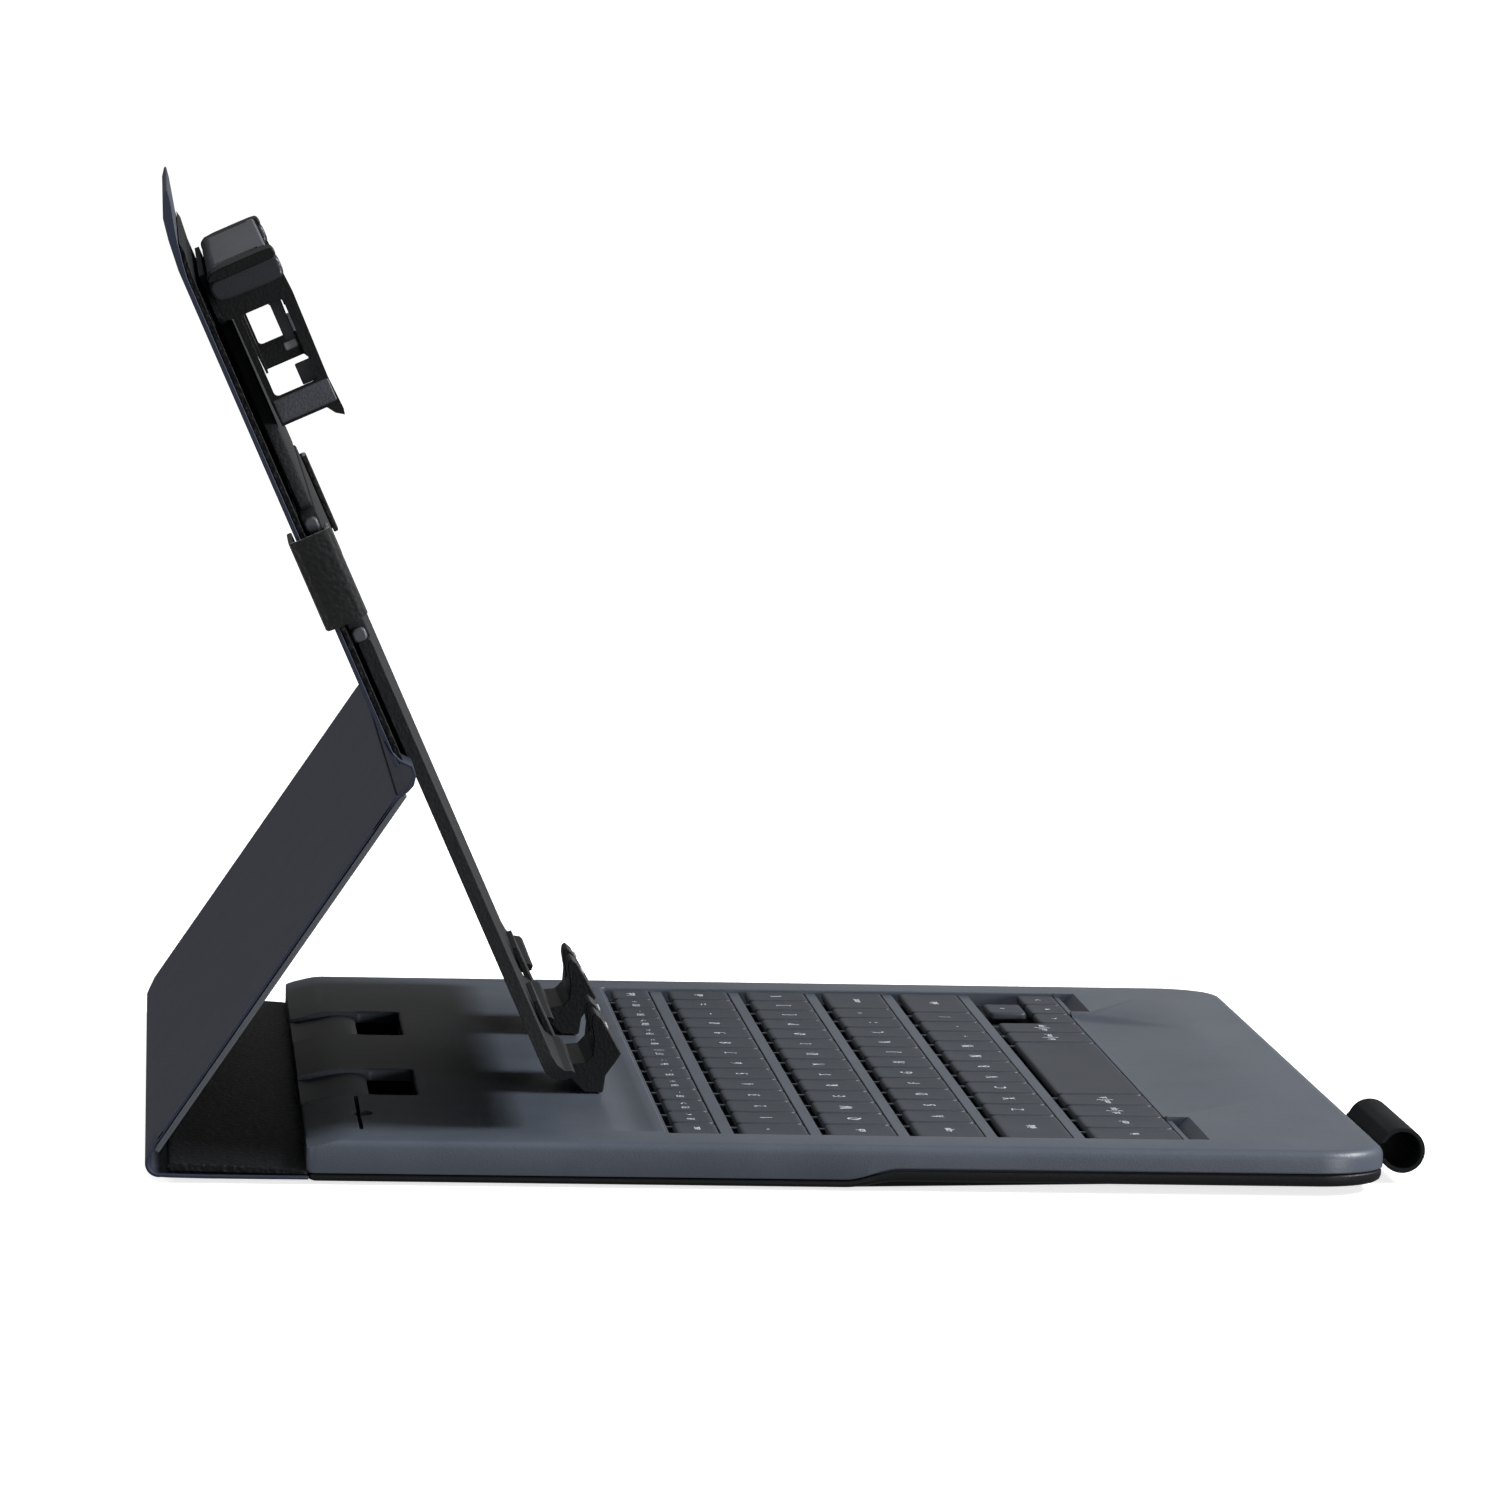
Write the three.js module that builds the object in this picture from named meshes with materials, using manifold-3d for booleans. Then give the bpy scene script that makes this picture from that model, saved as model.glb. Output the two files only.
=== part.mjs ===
// Folding tablet keyboard case: a wireless keyboard base, a three-panel
// folding cover and a spring-loaded tablet holder.  Millimetres, +Z up.
// X is the user's right, Y points away from the user, z = 0 is the table.
import * as THREE from 'three';
import { mergeVertices } from 'three/addons/utils/BufferGeometryUtils.js';
import Module from 'manifold-3d';

const wasm = await Module();
wasm.setup();

// ---- driving dimensions -------------------------------------------------
const HALF_W = 134;                 // half width of base and cover
const FRONT = -104;                 // front edge of the base
const REAR = 103;                   // rear edge of the base
const TOP = 8.2;                    // deck height
const FRONT_R = 14;                 // front corner radius
const REAR_R = 2;                   // rear corner radius
const STEP_Y = [1, -10];            // underside step, start and end
const SHELL_T = 1.5;                // thickness of the rear of the bottom shell
const FRONT_LIFT = 1.2;             // front underside above the table
const FRONT_SEAM = 3.7;             // case seam height at the front
const ROOF = 6.7;                   // underside of the deck
const WELL = { x: 119, y0: -67, y1: 34 };
const COLS = 14;
const PITCH_X = 16.8;
const KEY_GAP = 1.5;
const KEY_TOP = 7.85;
const KEY_BOTTOM = 6.3;
const WEB_T = 0.35;                 // thickness of a key carrier
const GRID = [6.75, 7.15];          // key grid of the top case, low and high
const TROUGH = { x: 117, y0: 36.5, y1: 41.5, z: 7.5 };
const ROWS = {
  function: [23.6, 31.9], number: [6.3, 19.35], upper: [-10.7, 2.35],
  home: [-27.7, -14.65], lower: [-44.7, -31.65], space: [-66, -48.65],
  arrowLow: [-66, -57.85], arrowHigh: [-56.8, -48.65],
};
const POCKET_X = [28, 68];
const DOOR = { x0: -119, x1: -70.2, y: 92 };
const PEN = { x: [-114, -70], y: -108.9, z: 5.9, r: 4.5, bore: 3.6 };
const HINGE = [131.2, 2.9];         // spine to strut, y and z
const CREASE = [86.6, 76.4];        // strut to upper panel, y and z
const BEAD_R = 1.4;
const STRUT_TILT = 33.7;            // strut from vertical, toward the user
const COVER_TILT = -24.5;           // upper panel from vertical, away
const COVER_ORIGIN = [85.9, 79.3];  // inner face of the upper panel, lower end
const CENTRE_Y = -9.83;             // puts the origin under the box centre
const DEG = Math.PI / 180;

// ---- materials ------------------------------------------------------------
const mat = (color, roughness, metalness = 0) =>
  new THREE.MeshStandardMaterial({ color, roughness, metalness });
const CASE = mat(0x555a62, 0.5);
const SHELL = mat(0x1a1b1e, 0.6);
const KEY = mat(0x4b4f55, 0.55);
const RUBBER = mat(0x141517, 0.7);
const SKIN = mat(0x3a3d48, 0.45);
const LINING = mat(0x222427, 0.9);
const PLATE = mat(0x2a2c30, 0.6);
const GREY = mat(0x5b5f66, 0.5);
const STRAP = mat(0x1f2022, 0.95);
const METAL = mat(0xb8bac0, 0.3, 1);
const BOARD = mat(0x1d5a34, 0.6);
const SHEET = mat(0x8a8d92, 0.8);
const LENS = mat(0xdfe6dc, 0.2);

// ---- solid helpers --------------------------------------------------------
function solid(geometry) {
  let g = geometry.clone();
  g.deleteAttribute('normal');
  g.deleteAttribute('uv');
  g = mergeVertices(g, 1e-4);
  const index = g.index ? g.index.array : [...Array(g.attributes.position.count).keys()];
  const mesh = new wasm.Mesh({
    numProp: 3,
    vertProperties: new Float32Array(g.attributes.position.array),
    triVerts: new Uint32Array(index),
  });
  mesh.merge();
  return new wasm.Manifold(mesh);
}

function geometryOf(man) {
  const m = man.getMesh();
  const g = new THREE.BufferGeometry();
  g.setAttribute('position', new THREE.BufferAttribute(new Float32Array(m.vertProperties), 3));
  g.setIndex(new THREE.BufferAttribute(new Uint32Array(m.triVerts), 1));
  return g;
}

function box(x0, x1, y0, y1, z0, z1) {
  const g = new THREE.BoxGeometry(x1 - x0, y1 - y0, z1 - z0);
  g.translate((x0 + x1) / 2, (y0 + y1) / 2, (z0 + z1) / 2);
  return solid(g);
}

// prism of a (y, z) outline between two x values
function prismX(points, x0, x1) {
  const shape = new THREE.Shape(points.map(([y, z]) => new THREE.Vector2(y, z)));
  const g = new THREE.ExtrudeGeometry(shape, { depth: x1 - x0, bevelEnabled: false });
  g.applyMatrix4(new THREE.Matrix4().set(0, 0, 1, x0, 1, 0, 0, 0, 0, 1, 0, 0, 0, 0, 0, 1));
  return solid(g);
}

// prism of an (x, y) outline between two z values
function prismZ(points, z0, z1) {
  const shape = new THREE.Shape(points.map(([x, y]) => new THREE.Vector2(x, y)));
  const g = new THREE.ExtrudeGeometry(shape, { depth: z1 - z0, bevelEnabled: false });
  g.translate(0, 0, z0);
  return solid(g);
}

// prism of an (x, z) outline between two y values
function prismY(points, y0, y1) {
  const shape = new THREE.Shape(points.map(([x, z]) => new THREE.Vector2(x, z)));
  const g = new THREE.ExtrudeGeometry(shape, { depth: y1 - y0, bevelEnabled: false });
  g.applyMatrix4(new THREE.Matrix4().set(1, 0, 0, 0, 0, 0, -1, y1, 0, 1, 0, 0, 0, 0, 0, 1));
  return solid(g);
}

function rod(radius, length, axis, [x, y, z], sides = 24) {
  const g = new THREE.CylinderGeometry(radius, radius, length, sides);
  if (axis === 'x') g.rotateZ(Math.PI / 2);
  if (axis === 'z') g.rotateX(Math.PI / 2);
  g.translate(x, y, z);
  return solid(g);
}

function roundedOutline(x, y0, y1, r0, r1, steps = 6) {
  const pts = [];
  const corner = (cx, cy, r, start) => {
    for (let i = 0; i <= steps; i++) {
      const a = (start + (90 * i) / steps) * DEG;
      pts.push([cx + r * Math.cos(a), cy + r * Math.sin(a)]);
    }
  };
  corner(x - r1, y1 - r1, r1, 0);
  corner(-x + r1, y1 - r1, r1, 90);
  corner(-x + r0, y0 + r0, r0, 180);
  corner(x - r0, y0 + r0, r0, 270);
  return pts;
}

function arc(cy, cz, r, from, to, steps = 8) {
  return [...Array(steps + 1).keys()].map((i) => {
    const a = (from + ((to - from) * i) / steps) * DEG;
    return [cy + r * Math.cos(a), cz + r * Math.sin(a)];
  });
}

const join = (...parts) => parts.reduce((a, b) => a.add(b));
const cut = (body, ...tools) => tools.reduce((a, b) => a.subtract(b), body);
const mirrored = (man) => man.mirror([1, 0, 0]);

const group = new THREE.Group();
const tabletCase = new THREE.Group();
tabletCase.position.y = CENTRE_Y;
group.add(tabletCase);

function add(name, man, material, parent = tabletCase) {
  const mesh = new THREE.Mesh(geometryOf(man), material);
  mesh.name = name;
  parent.add(mesh);
}

// ---- key layout -----------------------------------------------------------
function column(first, last = first) {
  const left = (-COLS / 2) * PITCH_X;
  return [left + first * PITCH_X + KEY_GAP / 2, left + (last + 1) * PITCH_X - KEY_GAP / 2];
}

const singles = (first, last) =>
  [...Array(last - first + 1).keys()].map((i) => column(first + i));
const HOME_SHIFT = 0.3 * PITCH_X;
const homeKeys = singles(1, 11).map(([a, b]) => [a + HOME_SHIFT, b + HOME_SHIFT]);
const capsKey = [column(0)[0], column(0)[1] + HOME_SHIFT];
const enterKey = [column(12)[0] + HOME_SHIFT, column(13)[1]];
const CELLS = [
  ['function', singles(0, 13)], ['number', singles(0, 13)], ['upper', singles(0, 13)],
  ['home', [capsKey, ...homeKeys, enterKey]],
  ['lower', [column(0, 1), ...singles(2, 11), column(12, 13)]],
  ['space', [...singles(0, 3), column(4, 8), ...singles(9, 10), column(11, 13)]],
];

// thin grid between the keys, with a wider slot behind each key
function keyGrid() {
  let grid = box(-WELL.x - 0.5, WELL.x + 0.5, WELL.y0 - 0.5, WELL.y1 + 0.5, ...GRID);
  for (const [row, spans] of CELLS) {
    const [y0, y1] = ROWS[row];
    for (const [x0, x1] of spans) {
      grid = cut(grid, box(x0 - 0.35, x1 + 0.35, y0 - 0.4, y1 + 2, 6, 8));
    }
  }
  return grid;
}

// ---- base -----------------------------------------------------------------
const plan = prismZ(roundedOutline(HALF_W, FRONT, REAR, FRONT_R, REAR_R), -1, 10);
const STEP_N = 6;

function stepCurve(zRear, zFront, frontToRear) {
  const pts = [];
  for (let i = 0; i <= STEP_N; i++) {
    const t = i / STEP_N;
    const ease = 0.5 - 0.5 * Math.cos(Math.PI * t);
    pts.push([STEP_Y[0] + (STEP_Y[1] - STEP_Y[0]) * t, zRear + (zFront - zRear) * ease]);
  }
  return frontToRear ? pts.reverse() : pts;
}

const shellOutline = [
  [REAR + 1, 0], ...stepCurve(0, FRONT_LIFT, false),
  [FRONT + 3, FRONT_LIFT], [FRONT + 0.8, FRONT_LIFT + 0.5], [FRONT, FRONT_LIFT + 1.4],
  [FRONT - 1, FRONT_LIFT + 1.4], [FRONT - 1, FRONT_SEAM],
  ...stepCurve(SHELL_T, FRONT_SEAM, true), [REAR + 1, SHELL_T],
].reverse();
const REAR_FEET = [[-112, -82], [82, 112]];
let shell = prismX(shellOutline, -HALF_W - 1, HALF_W + 1).intersect(plan);
shell = cut(shell, box(-131, 131, FRONT + 3, -12, 2.4, 5));
for (const [x0, x1] of REAR_FEET) {
  shell = cut(shell, box(x0 - 0.3, x1 + 0.3, 89.7, 96.3, -1, 0.8));
}
for (const x of [-80, 0, 80]) {
  shell = join(shell, box(x - 1, x + 1, -60, -13, 2.2, 3.9));
  shell = join(shell, box(x - 1, x + 1, 6, 30, 1.2, 3.9));
}
for (const [x, y] of [[30, 46], [30, 72], [100, 46], [100, 72]]) {
  shell = join(shell, rod(2, 1.6, 'z', [x, y, 2], 12));
}
add('base_bottom_shell', shell, SHELL);

const caseOutline = [
  [REAR + 1, SHELL_T], [REAR + 1, 5.9], [REAR, 6.2], [96.5, 8.1], [95, TOP], [FRONT + 2.5, TOP],
  [FRONT + 0.8, 7.5], [FRONT, 6.4], [FRONT - 1, 6.4], [FRONT - 1, FRONT_SEAM],
  ...stepCurve(SHELL_T, FRONT_SEAM, true),
];
let deck = prismX(caseOutline, -HALF_W - 1, HALF_W + 1).intersect(plan);
deck = cut(deck, prismZ(roundedOutline(HALF_W - 2.5, FRONT + 2.5, REAR - 2.5, 11.5, 1), -1, ROOF)
  .intersect(prismX([[90, -1], [90, ROOF], [FRONT, ROOF], [FRONT, -1]], -140, 140)));
deck = cut(deck, prismX([[89, -1], [101, -1], [101, 4.9], [96, ROOF - 0.2], [89, ROOF - 0.2]],
  -131.5, 131.5));
// frame around the key well
deck = join(deck, cut(box(-120.5, 120.5, WELL.y0 - 6, WELL.y1 + 1.5, 4.9, ROOF + 0.4),
  box(-118, 118, WELL.y0 + 1, WELL.y1 - 1, 4, 9)));
// pocket tubs that take the tablet claws when the case is shut
for (const side of [-1, 1]) {
  const [a, b] = POCKET_X.map((x) => x * side).sort((p, q) => p - q);
  deck = join(deck, box(a - 1.2, b + 1.2, 78.8, 97.2, 2.2, ROOF));
  deck = cut(deck, prismX([[80, 9], [80, 3.4], [88.6, 3.4], [90.2, 5.6], [92.6, 7.1],
    [95.5, 7.8], [97, 9]], a, b));
}
deck = cut(deck, box(-WELL.x, WELL.x, WELL.y0, WELL.y1, 4, 9));
deck = join(deck, keyGrid(), box(-86, 86, WELL.y0 - 0.1, WELL.y0 + 0.6, GRID[0], TOP));
deck = cut(deck, box(-TROUGH.x, TROUGH.x, TROUGH.y0, TROUGH.y1, TROUGH.z, 9));
// dished corners in front of the well
for (const [a, b] of [[-119, -86], [86, 119]]) {
  deck = cut(deck, prismX([[WELL.y0 + 0.7, 9], [WELL.y0 + 0.7, 5.6], [WELL.y0 - 0.4, 5.6],
    [-70.8, TOP + 0.1], [-70.8, 9]], a, b));
}
// battery door opening
const doorCut = (gap) => prismX([
  [DOOR.y + gap, 10], [DOOR.y + gap, 4], [101.4, 4], [101.4, 2.6 + gap], [REAR + 2, 2.6 + gap],
  [REAR + 2, 10]], DOOR.x0 + gap, DOOR.x1 - gap);
const nailNotch = rod(4, 3, 'z', [-96, DOOR.y + 0.5, 9.1], 20);
deck = cut(deck, doorCut(0), nailNotch);
// side controls
deck = cut(deck, box(129, 136, 58, 70, 3.6, 5.4));
deck = cut(deck, rod(1.9, 8, 'x', [133, 80, 4.5], 16));
deck = cut(deck, rod(1.1, 8, 'x', [133, 50, 4.5], 12));
add('base_top_case', deck, CASE);

const doorSkin = prismX([[DOOR.y, 6.95], [DOOR.y, TOP], [95, TOP], [96.5, 8.1], [REAR, 6.2],
  [REAR, 2.6], [101.8, 2.6], [101.8, 5.2], [96, 6.75]], DOOR.x0, DOOR.x1);
add('battery_door', cut(doorSkin.intersect(doorCut(0.3)), nailNotch), CASE);

add('key_support_plate', box(-120.5, 120.5, WELL.y0 - 1.5, WELL.y1 + 1.5, 3.95, 4.85), METAL);
add('membrane_sheet', box(-118.5, 118.5, WELL.y0 + 0.5, WELL.y1 - 0.5, 4.9, 5.2), SHEET);
add('circuit_board', box(24, 108, 42, 76, 2.85, 3.85), BOARD);
for (const [side, x] of [['left', -109.5], ['right', -87.5]]) {
  add(`coin_cell_${side}`, rod(10, 3.2, 'z', [x, 90, 3.15], 32), METAL);
}
add('power_switch', join(box(131.8, 134.3, 60.5, 66.5, 3.9, 5.1),
  box(129.6, 131.2, 58.5, 68.5, 2.8, 6.2), box(131, 132, 61, 66, 4, 5)), RUBBER);
add('connect_button', join(rod(1.5, 3.2, 'x', [132.6, 80, 4.5], 16),
  rod(2.2, 0.6, 'x', [130.8, 80, 4.5], 16)), RUBBER);
add('status_lens', rod(1, 3, 'x', [132.4, 50, 4.5], 12), LENS);
for (const [side, s] of [['left', -1], ['right', 1]]) {
  const [a, b] = [60 * s, 96 * s].sort((p, q) => p - q);
  add(`foot_front_${side}`, box(a, b, -95, -89, 0, FRONT_LIFT), RUBBER);
  const [c, d] = REAR_FEET[s < 0 ? 0 : 1];
  add(`foot_rear_${side}`, box(c, d, 90, 96, 0, 0.8), RUBBER);
  add(`stop_magnet_${side}`, box(47 * s - 8, 47 * s + 8, 45, 55, ROOF - 1.8, ROOF), METAL);
}

// pen loop sewn to the front edge
const loopOuter = prismX([[FRONT - 0.1, 3.9], [FRONT - 0.1, 6.2],
  ...arc(PEN.y, PEN.z, PEN.r, 24, 336, 26)], ...PEN.x);
add('pen_loop', cut(loopOuter, rod(PEN.bore, 60, 'x', [PEN.x[0] + 22, PEN.y, PEN.z], 24)), STRAP);

// ---- keys -------------------------------------------------------------------
function keyBlock(x0, x1, y0, y1) {
  const inset = 0.35;
  const shape = [[x0, y0], [x1, y0], [x1, y1], [x0, y1]];
  const low = prismZ(shape, KEY_BOTTOM, KEY_TOP - inset);
  const top = prismZ(shape.map(([x, y]) => [
    x + (x === x0 ? inset : -inset), y + (y === y0 ? inset : -inset)]), KEY_TOP - inset, KEY_TOP);
  return join(low, top);
}

function keys(name, row, spans) {
  const [y0, y1] = ROWS[row];
  const caps = spans.map(([a, b]) => keyBlock(a, b, y0, y1));
  const web = box(spans[0][0], spans.at(-1)[1], y0 + 1, y1 - 1, KEY_BOTTOM, KEY_BOTTOM + WEB_T);
  add(name, join(web, ...caps), KEY);
}

keys('key_escape', 'function', singles(0, 0));
keys('keys_function_row', 'function', singles(1, 12));
keys('key_lock', 'function', singles(13, 13));
keys('keys_number_row', 'number', singles(0, 12));
keys('key_backspace', 'number', singles(13, 13));
keys('key_tab', 'upper', singles(0, 0));
keys('keys_upper_row', 'upper', singles(1, 13));
keys('key_caps', 'home', [capsKey]);
keys('keys_home_row', 'home', homeKeys);
keys('key_enter', 'home', [enterKey]);
keys('key_shift_left', 'lower', [column(0, 1)]);
keys('keys_lower_row', 'lower', singles(2, 11));
keys('key_shift_right', 'lower', [column(12, 13)]);
keys('keys_modifier_left', 'space', singles(0, 3));
keys('key_space', 'space', [column(4, 8)]);
keys('keys_modifier_right', 'space', singles(9, 10));
keys('key_arrow_left', 'arrowLow', singles(11, 11));
keys('key_arrow_down', 'arrowLow', singles(12, 12));
keys('key_arrow_right', 'arrowLow', singles(13, 13));
keys('key_arrow_up', 'arrowHigh', singles(12, 12));

// ---- folding cover --------------------------------------------------------
const [hy, hz] = HINGE;
const spineOutline = [[103.1, 0.3], [129.5, 0.3], ...arc(hy, hz, BEAD_R, -100, 190, 14),
  [129.2, 1.4], [103.1, 1.1]];
add('spine_skin', prismX(spineOutline, -HALF_W, HALF_W), SKIN);
add('spine_board', prismX([[104.6, 1.25], [128.6, 1.55], [128.6, 2.85], [104.6, 2.35]],
  -HALF_W + 1, HALF_W - 1), LINING);

const strut = new THREE.Group();
strut.position.set(0, hy, hz);
strut.rotation.x = STRUT_TILT * DEG;
tabletCase.add(strut);
// in strut axes: y is the outward face normal, z runs from hinge to crease
const toStrut = ([y, z]) => {
  const a = -STRUT_TILT * DEG;
  const [dy, dz] = [y - hy, z - hz];
  return [dy * Math.cos(a) - dz * Math.sin(a), dy * Math.sin(a) + dz * Math.cos(a)];
};
const [cy, cz] = toStrut(CREASE);
const faceY = (z, depth) => 1.05 + depth + (z / cz) * (cy - 2.7 - 1.05);
const strutTop = cz - 1.7;
add('strut_board', prismX([[faceY(1.8, 0), 1.8], [faceY(1.8, 1.1), 1.8],
  [faceY(strutTop, 1.1), strutTop], [faceY(strutTop, 0), strutTop]],
-HALF_W + 0.5, HALF_W - 0.5), GREY, strut);
add('strut_skin', prismX([[faceY(1.8, 1.25), 1.8], [faceY(1.8, 1.95), 1.8],
  [faceY(cz - 6, 1.95), cz - 6], ...arc(cy, cz, BEAD_R, -70, 235, 14),
  [faceY(strutTop, 1.25), strutTop]], -HALF_W, HALF_W), SKIN, strut);

const cover = new THREE.Group();
cover.position.set(0, ...COVER_ORIGIN);
cover.rotation.x = COVER_TILT * DEG;
tabletCase.add(cover);
// in cover axes: z is s, up along the panel; y is -t, so t points to the user
const flip = (pts) => pts.map(([s, t]) => [-t, s]);
const prismC = (pts, x0, x1) => prismX(flip(pts), x0, x1);
const boxC = (x0, x1, s0, s1, t0, t1) => box(x0, x1, -t1, -t0, s0, s1);
const coverPlan = prismY(roundedOutline(HALF_W, -2, 117.2, 0.5, 12), -10, 10);
add('cover_skin', prismC([[0, -1.1], [0, -1.9], [102.2, -1.9], [112.2, -0.7], [116.8, 2],
  [111.7, 1.1], [104.2, -0.6], [100.2, -1.1]], -HALF_W, HALF_W).intersect(coverPlan), SKIN, cover);
add('cover_board', prismC([[0.4, 0], [0.4, -0.95], [99.7, -0.95], [103.7, -0.45],
  [107.2, 0.3], [103.7, 0]], -HALF_W + 1, HALF_W - 1), LINING, cover);

// holder: hub rail bonded to the cover, plate below it, spring slide above it
const hubOutline = [];
for (const [x, s0, s1, r] of [[128, 24, 50, 6]]) {
  for (const [px, ps, start] of [[x, s1, 0], [-x, s1, 90], [-x, s0, 180], [x, s0, 270]]) {
    const ox = px - Math.sign(px) * r;
    const os = ps === s1 ? ps - r : ps + r;
    for (let i = 0; i <= 5; i++) {
      const a = (start + 18 * i) * DEG;
      hubOutline.push([ox + r * Math.cos(a), os + r * Math.sin(a)]);
    }
  }
}
const SLIDE_X = [[-62, -38], [38, 62]];
const SPRING_X = [-20, 20];
let hub = prismY(hubOutline, -3.8, -0.3);
for (const [a, b] of SLIDE_X) hub = cut(hub, boxC(a - 0.4, b + 0.4, 26, 60, 1.2, 2.9));
for (const x of SPRING_X) hub = cut(hub, boxC(x - 2, x + 2, 28, 60, 0.9, 3.3));
add('hub_rail', hub, PLATE, cover);
let lowerPlate = prismC([[23.6, 0.9], [23.6, 3.5], [-66, 3.5], [-67.6, 4.6], [-68.6, 6],
  [-69.9, 5.4], [-69.4, 3.2], [-67.8, 1.4], [-66, 0.9]], -118, 118);
const CLAW_X = [[-63, -31], [31, 63]];
for (const [a, b] of CLAW_X) {
  lowerPlate = cut(lowerPlate, boxC(a - 0.4, b + 0.4, -80, -59.5, 3.5, 10));
}
add('lower_back_plate', lowerPlate, PLATE, cover);

let slidePlate = join(boxC(-118, 118, 50.6, 89, 0.9, 3.5), boxC(-98, 98, 88, 98.8, 0.9, 1.9));
for (const [a, b] of SLIDE_X) slidePlate = join(slidePlate, boxC(a, b, 28, 52, 1.5, 2.6));
add('slide_plate', slidePlate, PLATE, cover);
const BAR_S = [95, 99.5];
const TONGUE = { s: [96.2, 97.8], t: [6, 10], play: 0.4, x: [74, 106] };
const groove = boxC(70, 104, TONGUE.s[0] - TONGUE.play, TONGUE.s[1] + TONGUE.play,
  TONGUE.t[0] - TONGUE.play, TONGUE.t[1] + TONGUE.play);
const topBar = join(prismC([[BAR_S[0], 2.2], [BAR_S[0], 15], [BAR_S[1], 15], [BAR_S[1], 4],
  [98.8, 2.7], [97.6, 2.2]], -103, 103), boxC(-98, 98, 89.4, 95.5, 2.2, 3.6));
add('top_bar', cut(topBar, groove, mirrored(groove)), GREY, cover);

function coil(x) {
  const path = new THREE.CatmullRomCurve3([...Array(81).keys()].map((i) => {
    const a = i * 45 * DEG;
    return new THREE.Vector3(x + 0.85 * Math.cos(a), -2.1 + 0.85 * Math.sin(a), 28.6 + i * 0.26);
  }));
  const circle = new THREE.Shape();
  circle.absarc(0, 0, 0.22, 0, 2 * Math.PI, false);
  return solid(new THREE.ExtrudeGeometry(circle,
    { steps: 100, curveSegments: 3, bevelEnabled: false, extrudePath: path }));
}
for (const [side, x] of [['left', -20], ['right', 20]]) {
  add(`slide_spring_${side}`, coil(x), METAL, cover);
}

// corner grip: an open frame round the tablet's top corner
function grip() {
  const outer = prismC([[67.4, 13.7], [65.6, 14.6], [64.8, 16.2], [97.6, 16.2], [97.8, 15.7],
    [99.3, 15.5], [99.3, 3.8], [98.4, 2.4], [97, 2], [90, 2], [89.6, 3.8], [72, 4], [67.4, 4.2]],
  104, 127);
  const bay = boxC(100, 122.5, 60, 94.6, 4.8, 13.7);
  const sideWindow = boxC(120, 130, 72.8, 89.6, 5.2, 14.1);
  const frontRelief = boxC(100, 121, 60, 88, 13, 18);
  const tongue = boxC(...TONGUE.x, ...TONGUE.s, ...TONGUE.t);
  return join(cut(outer, bay, sideWindow, frontRelief), tongue);
}
function gripPad() {
  return join(boxC(105, 122.2, 92.2, 94.3, 5.1, 13.4), boxC(120.2, 122.2, 73.2, 94, 11.2, 13.4));
}
add('grip_right', grip(), RUBBER, cover);
add('grip_left', mirrored(grip()), RUBBER, cover);
add('grip_pad_right', gripPad(), PLATE, cover);
add('grip_pad_left', mirrored(gripPad()), PLATE, cover);

// claws that hold the tablet's lower edge
const clawProfile = [[-60, 3.8], [-60, 5], [-72, 5.2], [-74.8, 6.6], [-75.2, 9], [-73.8, 11.2],
  [-70.6, 12.4], [-67.2, 13.4], [-66.9, 14.4], [-70.3, 15.3], [-76.4, 15.9], [-79, 11.4],
  [-82, 9.4], [-80.5, 6], [-76, 4.2], [-71, 3.8]];
for (const [side, [a, b]] of [['left', CLAW_X[0]], ['right', CLAW_X[1]]]) {
  const claw = cut(prismC(clawProfile, a, b), boxC(a + 11, b - 11, -72.5, -60, 11.4, 18));
  add(`claw_${side}`, claw, RUBBER, cover);
}

// elastic straps round the cover's side edges
function strap() {
  const pts = [[104, -2.3], [104, -3.5], [135.2, -3.5], [136.3, -2.4], [136.3, 3.6],
    [135.2, 4.9], [121, 4.9], [121, 4.1], [134.7, 4.1], [135.2, 3.5], [135.2, -1.9], [134.8, -2.3]];
  const shape = new THREE.Shape(pts.map(([x, t]) => new THREE.Vector2(x, t)));
  const g = new THREE.ExtrudeGeometry(shape, { depth: 18, bevelEnabled: false });
  g.applyMatrix4(new THREE.Matrix4().set(1, 0, 0, 0, 0, -1, 0, 0, 0, 0, -1, 47, 0, 0, 0, 1));
  return solid(g);
}
add('strap_right', strap(), STRAP, cover);
add('strap_left', mirrored(strap()), STRAP, cover);

export default group;
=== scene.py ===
import math
import bmesh
import bpy
from mathutils import Matrix, Vector

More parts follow.
